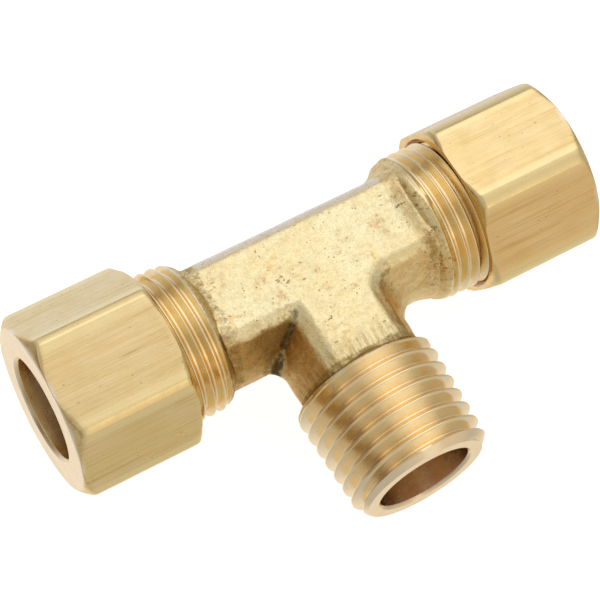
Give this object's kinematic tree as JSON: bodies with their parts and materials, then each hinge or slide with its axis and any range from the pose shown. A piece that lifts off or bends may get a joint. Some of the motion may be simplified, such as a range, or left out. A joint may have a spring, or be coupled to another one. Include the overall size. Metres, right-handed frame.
{
  "type": "compression tee",
  "caption": "Brass male branch tee: two compression ends with hex nuts and sleeves on the run, and a tapered male pipe thread on the branch.",
  "frame": {"origin": "centre of the flat pad on the back of the forged body, under the crossing of the run and branch axes", "axes": "+X along the run towards the right compression end, -Y along the branch towards its open end, +Z normal to the plane of the tee, out of the front pad"},
  "size_m": [0.0536, 0.0304, 0.0171],
  "materials": {
    "forged_brass": "forged and machined, fine pitting on the forged pads",
    "drawn_brass": "drawn hex bar with lengthwise draw lines, turned ends",
    "turned_brass": "turned, bright"
  },
  "bodies": {
    "tee": {"tee_body": "forged_brass"},
    "left_sleeve_carrier": {"left_sleeve": "turned_brass"},
    "right_sleeve_carrier": {"right_sleeve": "turned_brass"},
    "left_nut": {"left_compression_nut": "drawn_brass"},
    "right_nut": {"right_compression_nut": "drawn_brass"}
  },
  "joints": [
    {"name": "left_nut_travel", "type": "slide", "parent": "tee", "child": "left_sleeve_carrier", "axis": [-1, 0, 0], "range_m": [0, 0.0033]},
    {"name": "left_nut_turn", "type": "hinge", "parent": "left_sleeve_carrier", "child": "left_nut", "pos_m": [-0.021, 0, 0.00585], "axis": [-1, 0, 0], "range_deg": [0, 1080]},
    {"name": "right_nut_travel", "type": "slide", "parent": "tee", "child": "right_sleeve_carrier", "axis": [1, 0, 0], "range_m": [0, 0.0033]},
    {"name": "right_nut_turn", "type": "hinge", "parent": "right_sleeve_carrier", "child": "right_nut", "pos_m": [0.0213, 0, 0.00585], "axis": [1, 0, 0], "range_deg": [0, 1080]}
  ],
  "couplings": [
    {"joint": "left_nut_travel", "follows": "left_nut_turn", "m_per_rad": 0.00016844},
    {"joint": "right_nut_travel", "follows": "right_nut_turn", "m_per_rad": 0.00016844}
  ]
}
